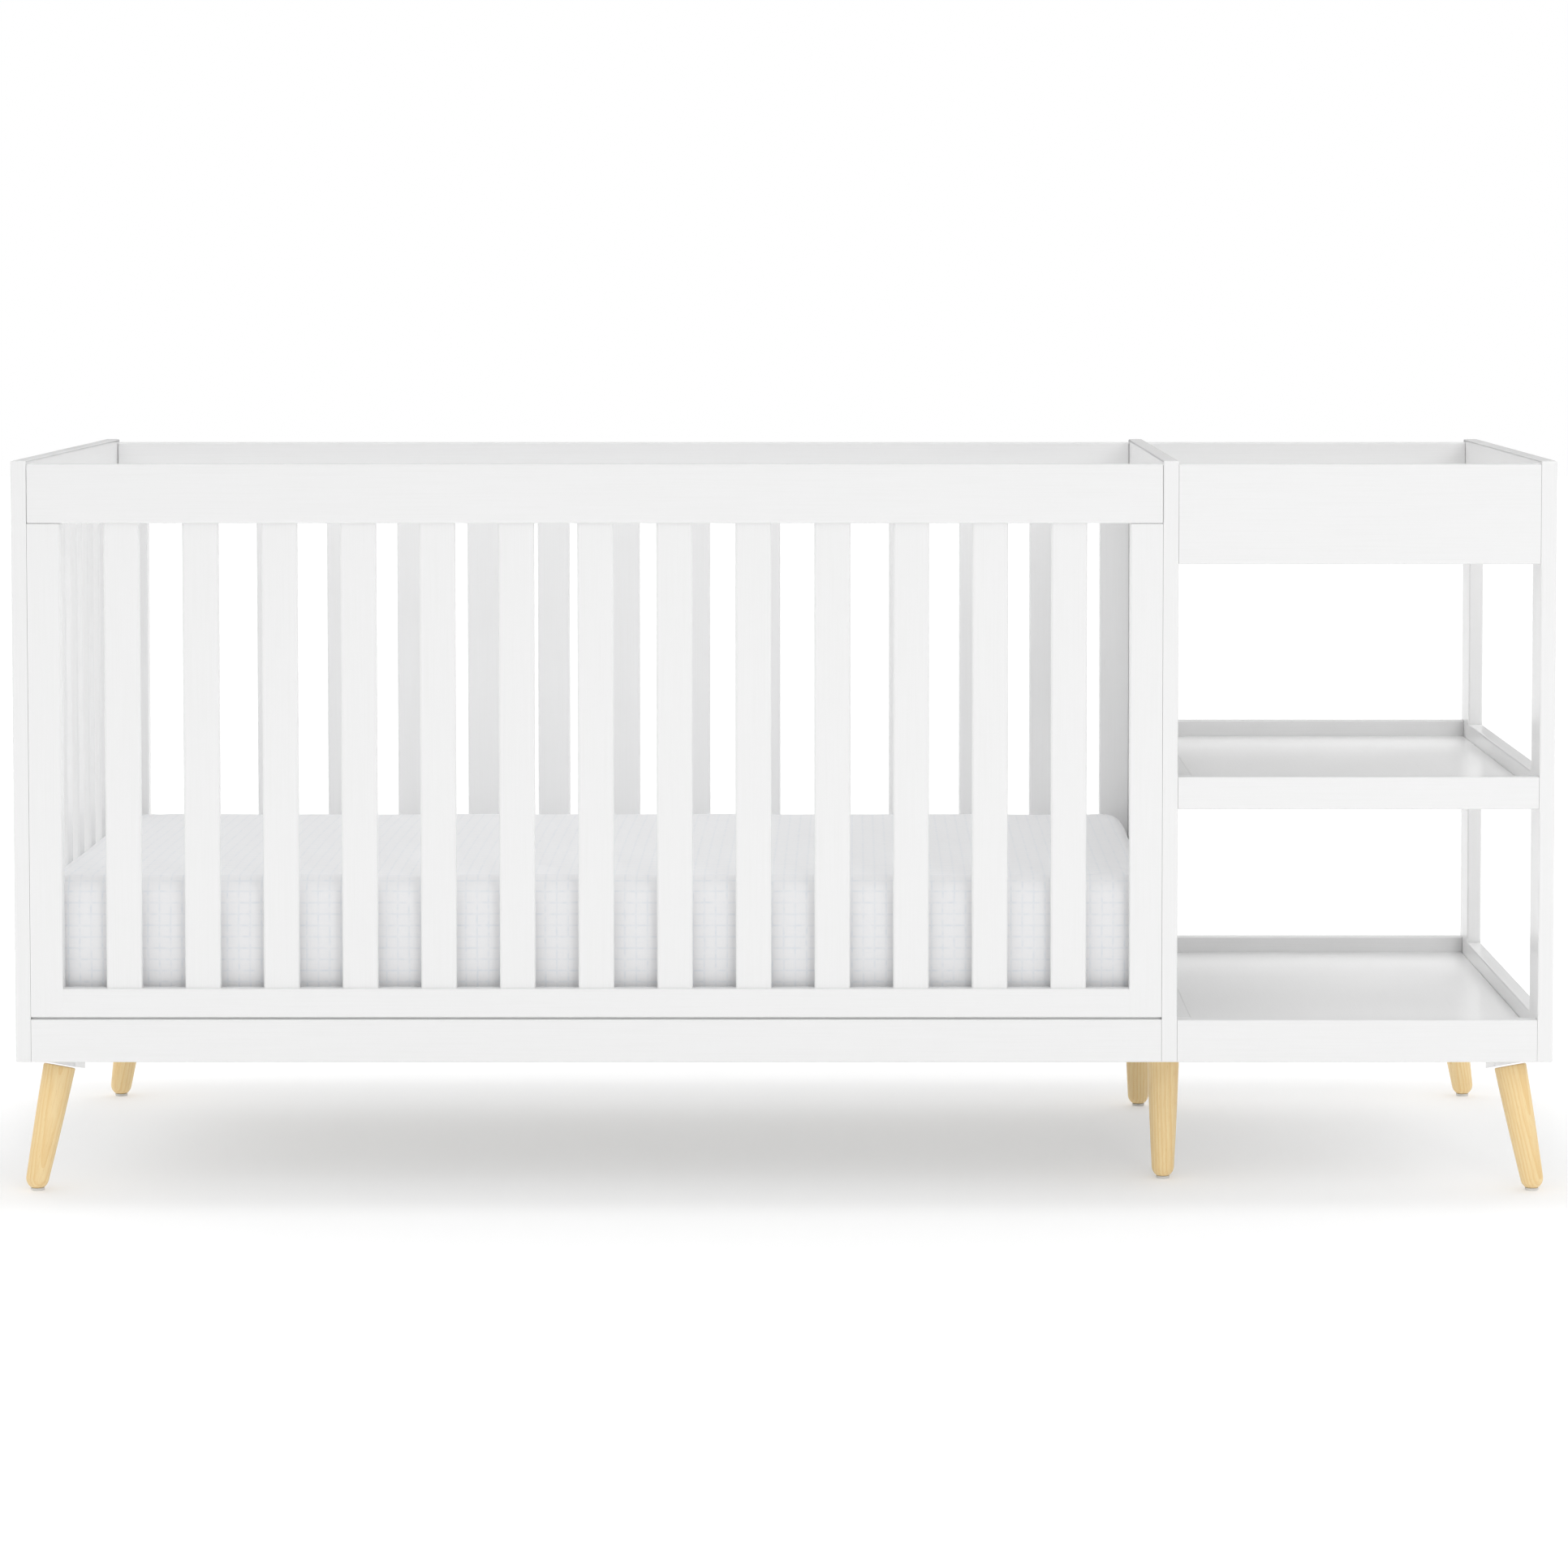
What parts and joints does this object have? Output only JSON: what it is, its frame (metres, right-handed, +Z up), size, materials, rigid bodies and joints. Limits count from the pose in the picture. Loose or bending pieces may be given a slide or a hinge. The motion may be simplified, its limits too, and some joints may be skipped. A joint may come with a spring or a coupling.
{
  "type": "crib and changer combo",
  "caption": "Slatted crib with a fitted mattress and an attached open changing station with shelves, on splayed turned legs.",
  "frame": {"origin": "on the floor, under the middle of the bounding box", "axes": "+X along the front from the crib to the changer, -Y towards the person in front, +Z up"},
  "size_m": [1.808, 0.75, 0.866],
  "materials": {
    "white_paint": "sprayed white satin lacquer on wood",
    "natural_wood": "clear matt lacquer on light turned wood",
    "grey_plastic": "moulded matt plastic",
    "sheet_fabric": "woven cotton fitted sheet, white with a fine pale blue-grey check"
  },
  "bodies": {
    "frame": {"back_base_rail": "white_paint", "back_panel": "white_paint", "changer_back_apron": "white_paint", "changer_front_apron": "white_paint", "changing_tray_floor": "white_paint", "front_base_rail": "white_paint", "front_bottom_rail": "white_paint", "front_left_stile": "white_paint", "front_right_stile": "white_paint", "front_slat_01": "white_paint", "front_slat_02": "white_paint", "front_slat_03": "white_paint", "front_slat_04": "white_paint", "front_slat_05": "white_paint", "front_slat_06": "white_paint", "front_slat_07": "white_paint", "front_slat_08": "white_paint", "front_slat_09": "white_paint", "front_slat_10": "white_paint", "front_slat_11": "white_paint", "front_slat_12": "white_paint", "front_slat_13": "white_paint", "front_top_rail": "white_paint", "glide_back_left": "grey_plastic", "glide_back_middle": "grey_plastic", "glide_back_right": "grey_plastic", "glide_front_left": "grey_plastic", "glide_front_middle": "grey_plastic", "glide_front_right": "grey_plastic", "left_end_panel": "white_paint", "leg_back_left": "natural_wood", "leg_back_middle": "natural_wood", "leg_back_right": "natural_wood", "leg_block_back_left": "white_paint", "leg_block_back_middle": "white_paint", "leg_block_back_right": "white_paint", "leg_block_front_left": "white_paint", "leg_block_front_middle": "white_paint", "leg_block_front_right": "white_paint", "leg_front_left": "natural_wood", "leg_front_middle": "natural_wood", "leg_front_right": "natural_wood", "lower_shelf_back_rail": "white_paint", "lower_shelf_board": "white_paint", "lower_shelf_front_rail": "white_paint", "lower_shelf_left_batten": "white_paint", "middle_panel": "white_paint", "middle_shelf_back_rail": "white_paint", "middle_shelf_board": "white_paint", "middle_shelf_front_rail": "white_paint", "middle_shelf_left_batten": "white_paint", "right_back_post": "white_paint", "right_front_post": "white_paint", "right_lower_rail": "white_paint", "right_middle_rail": "white_paint", "right_top_rail": "white_paint"},
    "support": {"mattress_support": "white_paint"},
    "mattress": {"mattress": "sheet_fabric"}
  },
  "joints": [
    {"name": "support_height", "type": "slide", "parent": "frame", "child": "support", "axis": [0, 0, 1], "range_m": [0, 0.3]},
    {"name": "mattress_lift", "type": "slide", "parent": "support", "child": "mattress", "axis": [0, 0, 1], "range_m": [0, 0.7]}
  ]
}
